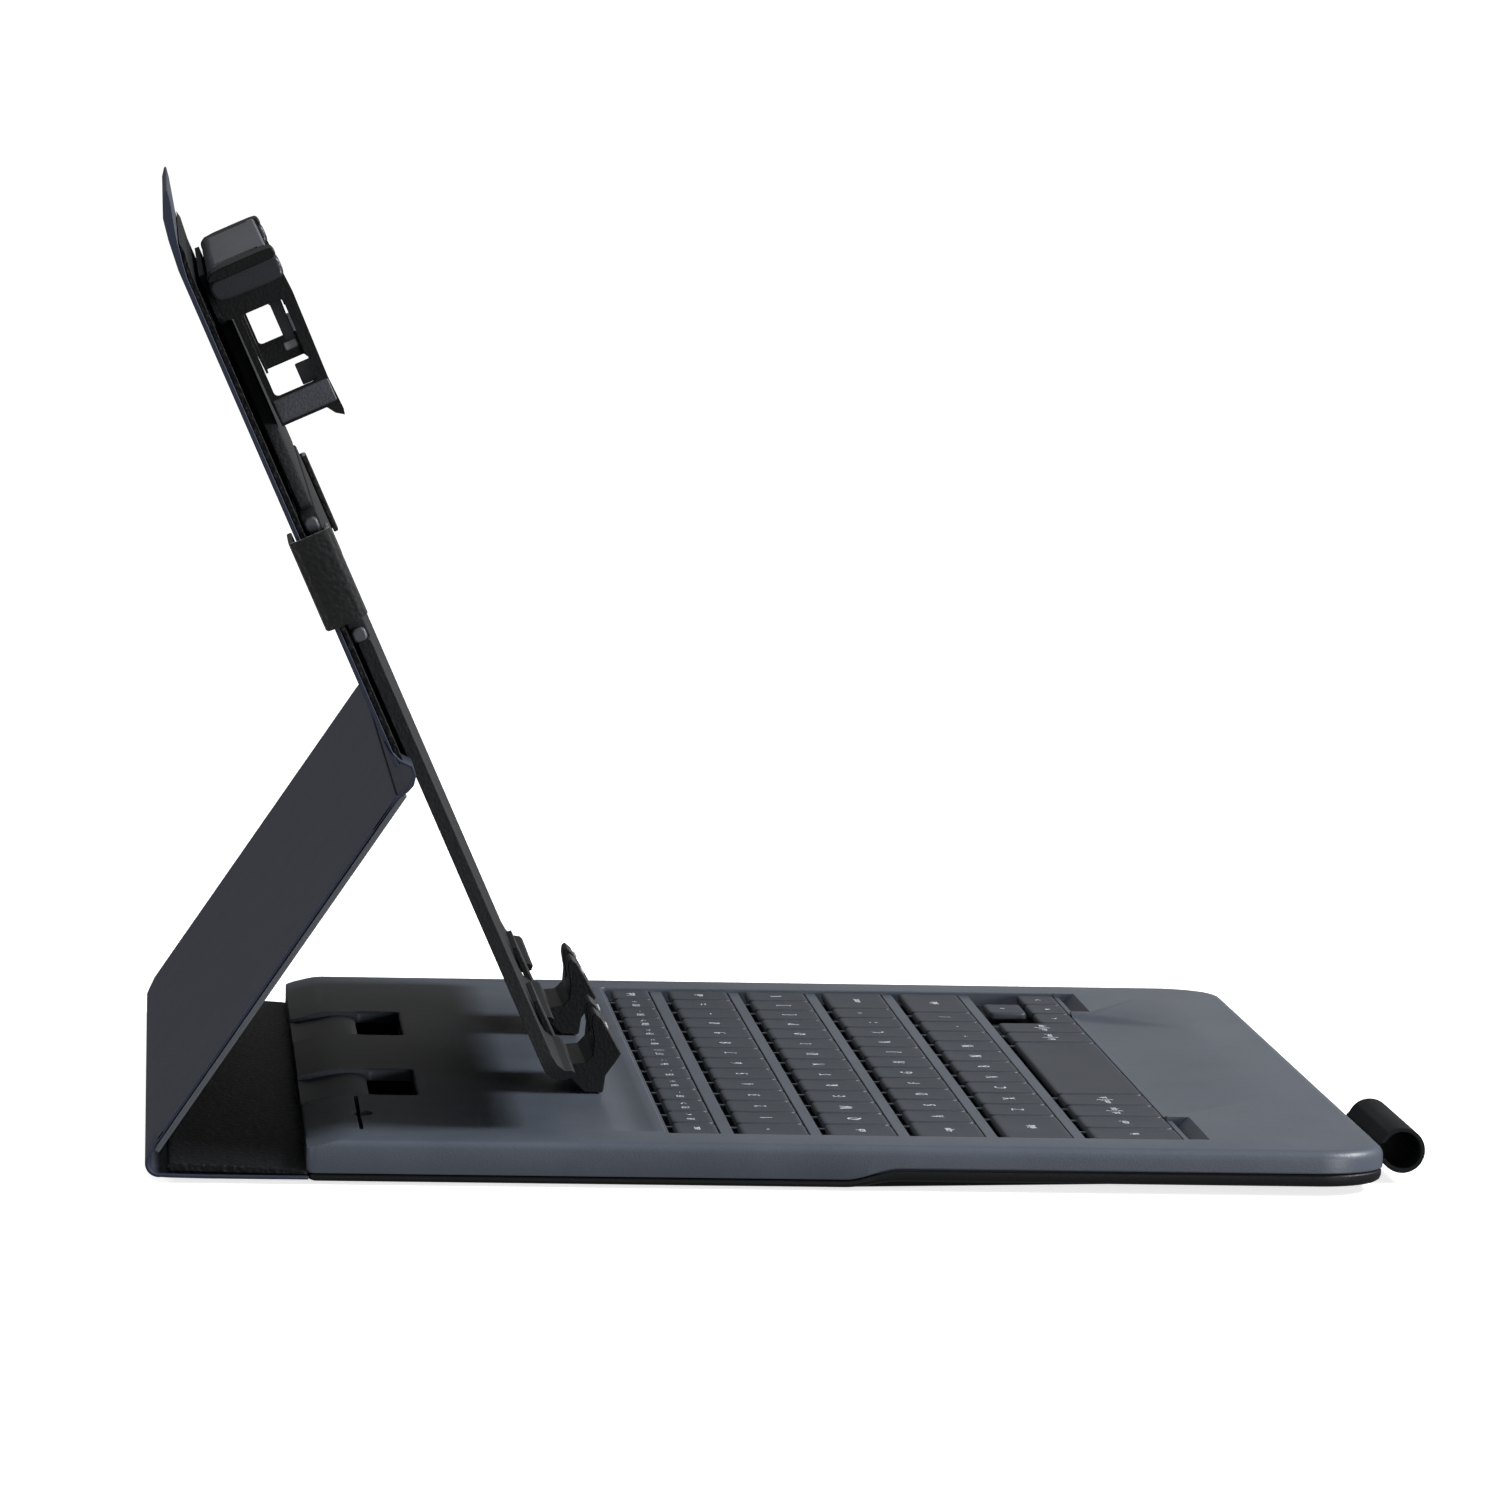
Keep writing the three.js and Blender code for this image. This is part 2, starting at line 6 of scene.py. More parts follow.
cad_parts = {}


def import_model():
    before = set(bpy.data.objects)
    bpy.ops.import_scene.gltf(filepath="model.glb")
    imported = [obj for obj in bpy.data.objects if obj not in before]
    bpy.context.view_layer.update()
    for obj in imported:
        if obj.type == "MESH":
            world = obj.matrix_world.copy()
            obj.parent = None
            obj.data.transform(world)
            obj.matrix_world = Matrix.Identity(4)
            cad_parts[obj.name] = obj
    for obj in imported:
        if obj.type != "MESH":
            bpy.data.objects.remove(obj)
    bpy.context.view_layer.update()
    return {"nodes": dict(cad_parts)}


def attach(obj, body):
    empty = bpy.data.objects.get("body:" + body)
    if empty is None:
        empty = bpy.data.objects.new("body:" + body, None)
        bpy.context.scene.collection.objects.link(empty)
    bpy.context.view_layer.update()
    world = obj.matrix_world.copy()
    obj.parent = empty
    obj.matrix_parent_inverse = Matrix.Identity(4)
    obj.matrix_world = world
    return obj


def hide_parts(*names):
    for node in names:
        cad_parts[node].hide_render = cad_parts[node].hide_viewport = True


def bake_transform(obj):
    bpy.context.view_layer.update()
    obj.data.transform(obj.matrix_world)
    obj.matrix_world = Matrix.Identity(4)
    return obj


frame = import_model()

# ---- frames -------------------------------------------------------------------
# Shapes are given in mm. The three functions below place them, in metres.
CENTRE_Y = -9.83
HALF_W, FRONT, REAR = 134.0, -104.0, 103.0
HINGE = (131.2, 2.9)
COVER_ORIGIN = (85.9, 79.3)
STRUT_TILT, COVER_TILT = math.radians(33.7), math.radians(-24.5)
SIDES = ((-1, "left"), (1, "right"))


def world(x, y, z):
    return Vector((x, y + CENTRE_Y, z)) * 0.001


def cover(x, s, t):
    """s runs up the upper panel, t out of it towards the holder."""
    c, d = math.cos(COVER_TILT), math.sin(COVER_TILT)
    return world(x, COVER_ORIGIN[0] - c * t - d * s, COVER_ORIGIN[1] - d * t + c * s)


def cover_ts(x, t, s):
    return cover(x, s, t)


def strut(x, u, o):
    """u runs up the lower panel, o out towards its skin."""
    c, d = math.cos(STRUT_TILT), math.sin(STRUT_TILT)
    return world(x, HINGE[0] + c * o - d * u, HINGE[1] + d * o + c * u)


def section_yz(place, a, b):
    """A point of the cover or strut frame as (y, z) in mm."""
    p = place(0, a, b) * 1000
    return p.y - CENTRE_Y, p.z


def sided(side, a, b):
    """An X range given for the right side, on the side asked for."""
    return sorted((a * side, b * side))


# ---- materials ----------------------------------------------------------------
BROAD_SCALE, ROUGH_SPREAD, COAT_ROUGHNESS = 60, 0.08, 0.25
BUMP_PER_MM = 0.0004


def material(name, color, rough=0.5, metal=0.0, grain=0.4, bump=0.1, vary=0.12, coat=0.0,
             kind="noise", sheen=0.0, spec=0.5):
    """Grain size in mm; vary is how far the colour wanders; bump is its strength."""
    m = bpy.data.materials.new(name)
    m.use_nodes = True
    nodes, link = m.node_tree.nodes, m.node_tree.links.new
    bsdf = nodes["Principled BSDF"]
    bsdf.inputs["Metallic"].default_value = metal
    bsdf.inputs["Coat Weight"].default_value = coat
    bsdf.inputs["Coat Roughness"].default_value = COAT_ROUGHNESS
    bsdf.inputs["Sheen Weight"].default_value = sheen
    bsdf.inputs["Specular IOR Level"].default_value = spec
    coords = nodes.new("ShaderNodeTexCoord")
    fine = nodes.new("ShaderNodeTexNoise")
    fine.inputs["Scale"].default_value = 1000.0 / grain
    fine.inputs["Detail"].default_value = 4
    broad = nodes.new("ShaderNodeTexNoise")
    broad.inputs["Scale"].default_value = BROAD_SCALE
    broad.inputs["Detail"].default_value = 3
    for noise in (fine, broad):
        link(coords.outputs["Object"], noise.inputs["Vector"])
    # colour: both noises through a ramp from a darker to a lighter shade
    mixer = nodes.new("ShaderNodeMath")
    mixer.operation = "MULTIPLY_ADD"
    link(fine.outputs["Fac"], mixer.inputs[0])
    mixer.inputs[1].default_value = 0.6
    link(broad.outputs["Fac"], mixer.inputs[2])
    ramp = nodes.new("ShaderNodeValToRGB")
    dark, light = ramp.color_ramp.elements
    dark.position, light.position = 0.55, 1.05
    dark.color = (*[max(0, c * (1 - vary)) for c in color], 1)
    light.color = (*[min(1, c * (1 + vary)) for c in color], 1)
    link(mixer.outputs[0], ramp.inputs["Fac"])
    link(ramp.outputs["Color"], bsdf.inputs["Base Color"])
    span = nodes.new("ShaderNodeMapRange")
    span.inputs["To Min"].default_value = max(0.05, rough - ROUGH_SPREAD)
    span.inputs["To Max"].default_value = min(1, rough + ROUGH_SPREAD)
    link(fine.outputs["Fac"], span.inputs["Value"])
    link(span.outputs["Result"], bsdf.inputs["Roughness"])
    height = fine.outputs["Fac"]
    if kind == "pebble":
        cells = nodes.new("ShaderNodeTexVoronoi")
        cells.feature = "SMOOTH_F1"
        cells.inputs["Scale"].default_value = 1000.0 / grain
        link(coords.outputs["Object"], cells.inputs["Vector"])
        height = cells.outputs["Distance"]
    if kind == "weave":
        both = nodes.new("ShaderNodeMath")
        both.operation = "MULTIPLY"
        for k, axis in enumerate(("X", "Z")):
            wave = nodes.new("ShaderNodeTexWave")
            wave.bands_direction = axis
            wave.inputs["Scale"].default_value = 1000.0 / grain / 6.28
            wave.inputs["Distortion"].default_value = 1.2
            link(coords.outputs["Object"], wave.inputs["Vector"])
            link(wave.outputs["Fac"], both.inputs[k])
        height = both.outputs[0]
    relief = nodes.new("ShaderNodeBump")
    relief.inputs["Strength"].default_value = bump
    relief.inputs["Distance"].default_value = grain * BUMP_PER_MM
    link(height, relief.inputs["Height"])
    link(relief.outputs["Normal"], bsdf.inputs["Normal"])
    return m


M = {
    "case": material("case_grey", (0.068, 0.081, 0.106), 0.42, grain=0.35, bump=0.35,
                     vary=0.10),
    "shell": material("shell_black", (0.006, 0.0065, 0.008), 0.5, grain=0.5, bump=0.3,
                      spec=0.35),
    "key": material("key_grey", (0.032, 0.038, 0.051), 0.5, grain=0.3, bump=0.25, vary=0.08),
    "legend": material("legend_white", (0.50, 0.53, 0.58), 0.6, grain=0.6, bump=0.05,
                       vary=0.05),
    # black; inside the claw pockets this material is painted shade
    "well": material("black_and_painted_shade", (0.004, 0.004, 0.005), 0.7, grain=0.8, bump=0.3, spec=0.2),
    "skin": material("skin_blue_grey", (0.029, 0.035, 0.057), 0.42, grain=0.45, bump=0.22,
                     vary=0.08, spec=0.2),
    "lining": material("lining_grained", (0.006, 0.0065, 0.008), 0.5, grain=0.9, bump=0.9,
                       kind="pebble", vary=0.25, spec=0.18),
    "edge": material("edge_grey", (0.085, 0.093, 0.108), 0.38, grain=0.4, bump=0.2),
    # painted light: a lighter copy of the edge grey, standing in for the light on the top
    # bar's upper face
    "bar": material("bar_grey_painted_light", (0.125, 0.135, 0.158), 0.4, grain=0.4, bump=0.2),
    "plate": material("plate_charcoal", (0.014, 0.0155, 0.018), 0.6, grain=0.7, bump=0.6,
                      vary=0.10, spec=0.25),
    "rubber": material("rubber_black", (0.006, 0.0065, 0.0075), 0.42, grain=0.6, bump=0.35,
                       vary=0.3, spec=0.3),
    "gloss": material("gloss_black", (0.026, 0.028, 0.033), 0.28, grain=0.5, bump=0.12,
                      spec=0.45),
    # speckled grain on a lighter base colour; the lightness is painted light on the grips'
    # outer lower band
    "painted_light_band": material("speckle_and_painted_light", (0.050, 0.054, 0.066), 0.5, grain=0.5, bump=0.5,
                     vary=0.4),
    "strap": material("strap_loop", (0.008, 0.0085, 0.0095), 0.85, grain=0.9, bump=1.0,
                      kind="pebble", vary=0.5, sheen=0.2, spec=0.25),
    "sleeve": material("sleeve_weave", (0.013, 0.014, 0.016), 0.75, grain=0.55, bump=0.8,
                       kind="weave", vary=0.3, spec=0.12),
    "metal": material("bare_metal", (0.55, 0.56, 0.58), 0.3, 1.0, grain=0.5, bump=0.1),
    "steel": material("plate_steel", (0.05, 0.05, 0.055), 0.5, 1.0, grain=0.5, bump=0.1),
    "board": material("solder_mask", (0.01, 0.09, 0.03), 0.35, grain=0.5, bump=0.1),
    "silicone": material("silicone", (0.006, 0.006, 0.007), 0.7, grain=0.5, bump=0.15,
                         spec=0.2),
    "lens": material("lens", (0.6, 0.65, 0.55), 0.2, grain=0.5, bump=0.02, coat=0.5),
    "pin": material("pin_light", (0.30, 0.32, 0.35), 0.35, grain=0.4, bump=0.15),
}


# ---- mesh helpers -------------------------------------------------------------
def mesh_object(name, verts, faces):
    me = bpy.data.meshes.new(name)
    me.from_pydata([tuple(v) for v in verts], [], faces)
    bm = bmesh.new()
    bm.from_mesh(me)
    bmesh.ops.remove_doubles(bm, verts=bm.verts, dist=1e-6)
    bmesh.ops.recalc_face_normals(bm, faces=bm.faces)
    bm.to_mesh(me)
    bm.free()
    o = bpy.data.objects.new(name, me)
    bpy.context.scene.collection.objects.link(o)
    return o


def loft(name, rings):
    """Joins rings of equal length with quads; each end is capped with one face."""
    n = len(rings[0])
    verts = [p for ring_pts in rings for p in ring_pts]
    faces = []
    for i in range(len(rings) - 1):
        a, b = i * n, (i + 1) * n
        faces += [(a + j, a + (j + 1) % n, b + (j + 1) % n, b + j) for j in range(n)]
    faces += [tuple(range(n)), tuple(range((len(rings) - 1) * n, len(rings) * n))]
    return mesh_object(name, verts, faces)


def prism(name, section, x0, x1, place, steps=1):
    """Extrudes a section along X; place(x, a, b) gives the 3-D point."""
    xs = [x0 + (x1 - x0) * i / steps for i in range(steps + 1)]
    return loft(name, [[place(x, a, b) for a, b in section] for x in xs])


def slab(name, section, low, high, place=world):
    """Extrudes a section along the third axis of place."""
    return loft(name, [[place(a, b, level) for a, b in section] for level in (low, high)])


def cover_box(name, x0, x1, s0, s1, t0, t1):
    return prism(name, [(s0, t0), (s1, t0), (s1, t1), (s0, t1)], x0, x1, cover)


def rounded(x, y0, y1, r0, r1, steps=10, x_left=None):
    """A rectangle with corner radius r0 at y0 and r1 at y1, from x_left (or -x) to x."""
    left = -x if x_left is None else x_left
    pts = []
    corners = ((x - r1, y1 - r1, r1, 0), (left + r1, y1 - r1, r1, 90),
               (left + r0, y0 + r0, r0, 180), (x - r0, y0 + r0, r0, 270))
    for cx, cy, r, start in corners:
        pts += arc(cx, cy, r, start, start + 90, steps)
    return pts


def arc(cy, cz, r, a0, a1, steps=10):
    out = []
    for i in range(steps + 1):
        a = math.radians(a0 + (a1 - a0) * i / steps)
        out.append((cy + r * math.cos(a), cz + r * math.sin(a)))
    return out


def clip_corners(pts):
    """Cuts each corner of a closed outline a fifth of the way along its sides."""
    out = []
    for i, p in enumerate(pts):
        q = pts[(i + 1) % len(pts)]
        out.append((p[0] * 0.8 + q[0] * 0.2, p[1] * 0.8 + q[1] * 0.2))
        out.append((p[0] * 0.2 + q[0] * 0.8, p[1] * 0.2 + q[1] * 0.8))
    return out


def apply(o):
    dg = bpy.context.evaluated_depsgraph_get()
    dg.update()
    new = bpy.data.meshes.new_from_object(o.evaluated_get(dg))
    o.modifiers.clear()
    o.data = new


def boolean(o, tool, op="DIFFERENCE"):
    m = o.modifiers.new("b", "BOOLEAN")
    m.operation, m.solver, m.object = op, "EXACT", tool
    apply(o)
    bpy.data.objects.remove(tool)


def soften(o, width=0.3, segments=2):
    m = o.modifiers.new("edge", "BEVEL")
    m.width, m.segments = width * 0.001, segments
    m.limit_method, m.angle_limit = "ANGLE", math.radians(32)
    m.use_clamp_overlap = True
    w = o.modifiers.new("normals", "WEIGHTED_NORMAL")
    w.keep_sharp = True


def smooth(o, angle=35):
    for p in o.data.polygons:
        p.use_smooth = True
    o.data.set_sharp_from_angle(angle=math.radians(angle))


def piece(o, body, mat, slot, *nodes, angle=35):
    o.data.materials.clear()
    o.data.materials.append(M[mat])
    smooth(o, angle)
    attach(o, body)
    if nodes:
        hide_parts(*nodes)


def merge(name, objects):
    bm = bmesh.new()
    for o in objects:
        apply(o)
        bm.from_mesh(o.data)
        bpy.data.objects.remove(o)
    me = bpy.data.meshes.new(name)
    bm.to_mesh(me)
    bm.free()
    out = bpy.data.objects.new(name, me)
    bpy.context.scene.collection.objects.link(out)
    return out


# ---- key layout ---------------------------------------------------------------
PITCH, GAP, KEY_TOP, KEY_LOW = 16.8, 1.5, 7.85, 6.3
ROWS = {"function": (23.6, 31.9), "number": (6.3, 19.35), "upper": (-10.7, 2.35),
        "home": (-27.7, -14.65), "lower": (-44.7, -31.65), "space": (-66, -48.65),
        "arrow_low": (-66, -57.85), "arrow_high": (-56.8, -48.65)}


def column(first, last=None):
    """The X range of a key that covers the columns first to last."""
    last = first if last is None else last
    left = -7 * PITCH
    return left + first * PITCH + GAP / 2, left + (last + 1) * PITCH - GAP / 2


def singles(first, last):
    return [column(i) for i in range(first, last + 1)]


HOME_SHIFT = 0.3 * PITCH
HOME = [(a + HOME_SHIFT, b + HOME_SHIFT) for a, b in singles(1, 11)]
CAPS = (column(0)[0], column(0)[1] + HOME_SHIFT)
ENTER = (column(12)[0] + HOME_SHIFT, column(13)[1])
CELLS = {"function": singles(0, 13), "number": singles(0, 13), "upper": singles(0, 13),
         "home": [CAPS] + HOME + [ENTER],
         "lower": [column(0, 1)] + singles(2, 11) + [column(12, 13)],
         "space": singles(0, 3) + [column(4, 8)] + singles(9, 10) + [column(11, 13)]}
GRID_FRONT, GRID_REAR, GRID_HALF_W, GRID_LOW = -67.5, 34.6, 119.4, 6.75
ROW_BAR_TOP, RIB_TOP = 7.35, 7.0


def key_grid():
    """Bars between the rows and thin ribs between the keys, as separate closed boxes."""
    edges = sorted((ROWS[r][0] - 0.4, ROWS[r][1] + 1.25) for r in CELLS)
    gaps = zip([GRID_FRONT] + [y1 for _, y1 in edges], [y0 for y0, _ in edges] + [GRID_REAR])
    boxes = [(-GRID_HALF_W, GRID_HALF_W, y0, y1, ROW_BAR_TOP)
             for y0, y1 in gaps if y1 - y0 > 0.2]
    for row, spans in CELLS.items():
        y0, y1 = ROWS[row][0] - 0.5, ROWS[row][1] + 1.35
        boxes += [(right + 0.35, left - 0.35, y0, y1, RIB_TOP)
                  for (_, right), (left, _) in zip(spans, spans[1:])]
    return merge("key_grid", [
        prism("box", [(y0, GRID_LOW), (y1, GRID_LOW), (y1, top - 0.1), (y1 - 0.12, top),
                      (y0 + 0.12, top), (y0, top - 0.1)], x0, x1, world)
        for x0, x1, y0, y1, top in boxes])


# ---- base case ----------------------------------------------------------------
POCKET_X, POCKET_Y = (28, 68), (80, 89.4)
NOTCH_X, NOTCH_Y, NOTCH_HALF_W = -96, 92.2, 4.2


def step(y, rear, front):
    """Height at y of an edge that rises from its rear to its front level over 11 mm."""
    t = min(1, max(0, (1 - y) / 11))
    return rear + (front - rear) * (0.5 - 0.5 * math.cos(math.pi * t))


def outline(inset):
    """The base in plan, with extra points on its long sides along the step."""
    pts = rounded(HALF_W - inset, FRONT + inset, REAR - inset, max(14 - inset, 0.5),
                  max(2 - inset, 0.3), 14)
    out = []
    for i, p in enumerate(pts):
        q = pts[(i + 1) % len(pts)]
        out.append(p)
        if abs(p[0] - q[0]) < 0.01 and abs(p[1] - q[1]) > 50:
            ys = range(3, -12, -1) if q[1] < p[1] else range(-11, 4)
            out += [(p[0], y) for y in ys]
    return out


def ring(inset, rear_z, front_z=None):
    """The outline at one height, or at a rear and a front height that the step joins."""
    front_z = rear_z if front_z is None else front_z
    return [world(x, y, step(y, rear_z, front_z)) for x, y in outline(inset)]


def cutter(section, x0, x1):
    return prism("cut", section, x0, x1, world)


def well_cutter(x0, x1, y0, y1, r, z0, z1, flare):
    """A straight well with radius r corners and a rim that flares out near z1."""
    rows = [(0, z0), (0, z1 - flare), (flare * 0.35, z1 - flare * 0.4), (flare, z1),
            (flare + 1, z1 + 1)]
    return loft("cut", [[world(x, y, z) for x, y in
                         rounded(x1 + d, y0 - d, y1 + d, r + d, r + d, 6, x0 - d)]
                        for d, z in rows])


def notch_cutter(steps, reach, z0, z1):
    """The battery door's finger notch; reach turns the sine of an angle into a Y offset."""
    turns = [2 * math.pi * i / steps for i in range(steps)]
    section = [(NOTCH_X + NOTCH_HALF_W * math.cos(a), NOTCH_Y + reach(math.sin(a)))
               for a in turns]
    return slab("cut", section, z0, z1)


case = loft("deck", [
    ring(0.35, 1.62, 3.82), ring(0.12, 1.7, 3.9), ring(0.0, 1.95, 4.1), ring(0.0, 6.3),
    ring(0.12, 6.9), ring(0.45, 7.5), ring(0.95, 7.9), ring(1.6, 8.12), ring(2.4, 8.2)])

# rear slope with a soft shoulder
boolean(case, cutter([(140, 20), (140, 5.2), (103.6, 6.05), (101, 6.85), (98.6, 7.5),
                      (97.2, 7.85), (95.8, 8.08), (94.2, 8.19), (92.5, 8.25), (92.5, 20)],
                     -140, 140))
# hollow inside, with a frame round the key well and walls round the claw pockets
hollow = cutter([(100.5, -2), (100.5, 4.7), (96, 6.3), (90, 6.7), (-101.5, 6.7),
                 (-101.5, -2)], -131.5, 131.5)
boolean(hollow, slab("cut", rounded(131.5, -101.5, 101, 11.5, 1, 12), -3, 9), "INTERSECT")
boolean(case, hollow)
frame_ring = well_cutter(-120.5, 120.5, -73, 35.5, 1, 4.9, 7.1, 0)
boolean(frame_ring, well_cutter(-118.6, 118.6, -66.6, 33.6, 1, 4, 9, 0))
boolean(case, frame_ring, "UNION")
for side, _ in SIDES:
    a, b = sided(side, *POCKET_X)
    boolean(case, cutter([(78.8, 2.2), (98.5, 2.2), (98.5, 6.4), (78.8, 7.2)],
                         a - 1.2, b + 1.2), "UNION")
# key well, trough behind it, strip along its front edge and ramps at its front corners
boolean(case, well_cutter(-119, 119, -67, 34, 1.2, 3, 8.25, 0.3))
boolean(case, cutter([(35.2, 9.4), (35.2, 8.24), (36.4, 7.95), (38, 7.66), (39.6, 7.62),
                      (41.4, 7.8), (43.4, 8.08), (45, 8.24), (45, 9.4)], -117, 117))
boolean(case, cutter([(-67.3, 6.8), (-66.4, 6.8), (-66.4, 8.05), (-66.6, 8.2),
                      (-67.3, 8.2)], -86, 86), "UNION")
for side, _ in SIDES:
    boolean(case, cutter([(-66.2, 9.4), (-66.2, 5.6), (-67.6, 5.6), (-68.6, 6.3), (-70, 7.6),
                          (-70.8, 8.25), (-71.4, 9.4)], *sided(side, 86, 118.8)))


def ease(v):
    return v * v * (3 - 2 * v)


def scoop_cutter():
    """A grid whose lower face dips into the palm rest, deepest at the keys."""
    nx, ny = 60, 24
    x_half, y0, y1, depth = 88.0, -92.0, -64.0, 1.1
    dipped, flat, faces = [], [], []
    for j in range(ny + 1):
        y = y0 + (y1 - y0) * j / ny
        v = (y - y0) / (y1 - y0)
        reach = x_half - 1 - 30 * (1 - v) ** 1.2
        for i in range(nx + 1):
            x = -x_half + 2 * x_half * i / nx
            across = ease(max(0.0, min(1.0, (reach - abs(x)) / 6.0)))
            dipped.append(world(x, y, 8.23 - depth * across * ease(min(1.0, v / 0.9))))
            flat.append(world(x, y, 10))
    top, w = len(dipped), nx + 1
    for j in range(ny):
        for i in range(nx):
            a = j * w + i
            faces.append((a, a + 1, a + 1 + w, a + w))
            faces.append((a + top, a + w + top, a + 1 + w + top, a + 1 + top))
    rim = [pair for i in range(nx) for pair in ((i, i + 1), (ny * w + i + 1, ny * w + i))]
    rim += [pair for j in range(ny)
            for pair in (((j + 1) * w, j * w), (j * w + nx, (j + 1) * w + nx))]
    faces += [(a, b, b + top, a + top) for a, b in rim]
    return mesh_object("cut", dipped + flat, faces)


boolean(case, scoop_cutter())
# claw pockets: a deep slot, then a rounded bridge that runs out over the rear slope
BRIDGE = [(88.4, 9.4), (88.4, 5.9), (89.1, 6.7), (90.4, 7.2), (92.2, 7.4), (94.2, 7.25),
          (96.4, 6.8), (99, 6.2), (101.5, 5.7), (103, 5.75), (104, 9.4)]
for side, _ in SIDES:
    a, b = sided(side, *POCKET_X)
    boolean(case, well_cutter(a, b, *POCKET_Y, 1.6, 3.4, 8.3, 0.7))
    boolean(case, cutter(BRIDGE, a + 0.4, b - 0.4))
# battery door opening with its seam, finger notch and the controls in the side wall
boolean(case, cutter([(92.0, 10), (92.0, 4), (101.4, 4), (101.4, 2.6), (106, 2.6), (106, 10)],
                     -119.1, -70.1))
boolean(case, cutter([(90.2, 10), (90.2, 7.3), (92.6, 7.3), (92.6, 10)], -98.6, -94.4))
boolean(case, notch_cutter(24, lambda v: -2.6 * abs(v) * (1 if v > 0 else -0.2), 7.3, 9))
boolean(case, cutter([(58, 3.6), (58, 5.4), (70, 5.4), (70, 3.6)], 130, 136))
for y, r in ((80, 1.9), (50, 1.15)):
    boolean(case, cutter(arc(y, 4.5, r, 0, 360, 20)[:-1], 130, 136))
piece(case, "base", "case", "case_plastic", "base_top_case", angle=28)
# painted shade: a thin black sheet inside each claw pocket makes its inside read dark
for side, tag in SIDES:
    a, b = sided(side, *POCKET_X)
    pocket_shade = loft("claw_pocket_painted_shade_" + tag, [
        [world(x, y, z) for x, y in
         rounded(b - d, POCKET_Y[0] + d, POCKET_Y[1] - d, 1.6, 1.6, 6, a + d)]
        for d, z in ((0.03, 3.43), (0.03, 5.8), (0.3, 5.8), (0.3, 3.75))])
    piece(pocket_shade, "base", "well", "case_plastic", angle=28)
piece(key_grid(), "base", "case", "case_plastic", angle=28)

shell = loft("bottom_shell", [
    ring(2.2, 0.0, 1.2), ring(1.2, 0.06, 1.3), ring(0.55, 0.3, 1.7), ring(0.25, 0.7, 2.4),
    ring(0.25, 1.2, 3.3), ring(0.5, 1.45, 3.65)])
boolean(shell, slab("cut", rounded(131, -101, -12, 11.5, 1, 12), 2.4, 6))
for side, _ in SIDES:
    boolean(shell, well_cutter(*sided(side, 81.7, 112.3), 89.7, 96.3, 0.8, -1, 0.8, 0))
for x in (-80, 0, 80):
    for y0, y1, z0 in ((-60, -13, 2.2), (6, 30, 1.2)):
        boolean(shell, cutter([(y0, z0), (y1, z0), (y1, 3.9), (y0, 3.9)], x - 1, x + 1),
                "UNION")
piece(shell, "base", "shell", "shell_plastic", "base_bottom_shell", angle=28)

door = prism("battery_cover", [
    (92.75, 7.0), (92.75, 8.05), (92.95, 8.2), (94.2, 8.19), (95.8, 8.08), (97.2, 7.85),
    (98.6, 7.5), (101, 6.85), (102.6, 6.35), (103, 6.0), (103, 3.1), (102.7, 2.9),
    (101.9, 2.9), (101.9, 5.1), (96, 6.7)], -118.7, -70.5, world)
boolean(door, notch_cutter(20, lambda v: 1.4 * v, 6, 9))
soften(door, 0.2)
piece(door, "battery_door", "case", "case_plastic", "battery_door")

# ---- keys ---------------------------------------------------------------------
CAP_ROWS = [(0.25, KEY_LOW), (0.0, KEY_LOW + 0.25), (0.0, 7.35), (0.08, 7.6), (0.25, 7.77),
            (0.5, KEY_TOP), (1.2, KEY_TOP - 0.01), (2.6, KEY_TOP - 0.06)]
LETTER, WORD, PAIR, PAIR_OFFSET = 3.6, 2.6, 2.3, 3.1


def keycap(x0, x1, y0, y1):
    rings = []
    for d, z in CAP_ROWS:
        r = max(0.35, 1.3 - d)
        rings.append([world(x, y, z)
                      for x, y in rounded(x1 - d, y0 + d, y1 - d, r, r, 5, x0 + d)])
    return loft("cap", rings)


def legend(text, x, y, size):
    """Flat lettering just above a cap, centred on (x, y)."""
    c = bpy.data.curves.new("t", "FONT")
    c.body, c.size, c.extrude = text, size * 0.001, 0.00004
    c.align_x, c.align_y = "CENTER", "CENTER"
    c.resolution_u = 2
    o = bpy.data.objects.new("t", c)
    bpy.context.scene.collection.objects.link(o)
    bpy.context.view_layer.update()
    me = bpy.data.meshes.new_from_object(o)
    bpy.data.objects.remove(o)
    me.transform(Matrix.Translation(world(x, y, KEY_TOP - 0.005)))
    o = bpy.data.objects.new("t", me)
    bpy.context.scene.collection.objects.link(o)
    return o


def divider(x, y, w, h):
    return slab("t", [(x - w / 2, y - h / 2), (x + w / 2, y - h / 2), (x + w / 2, y + h / 2),
                      (x - w / 2, y + h / 2)], KEY_TOP - 0.04, KEY_TOP + 0.03)


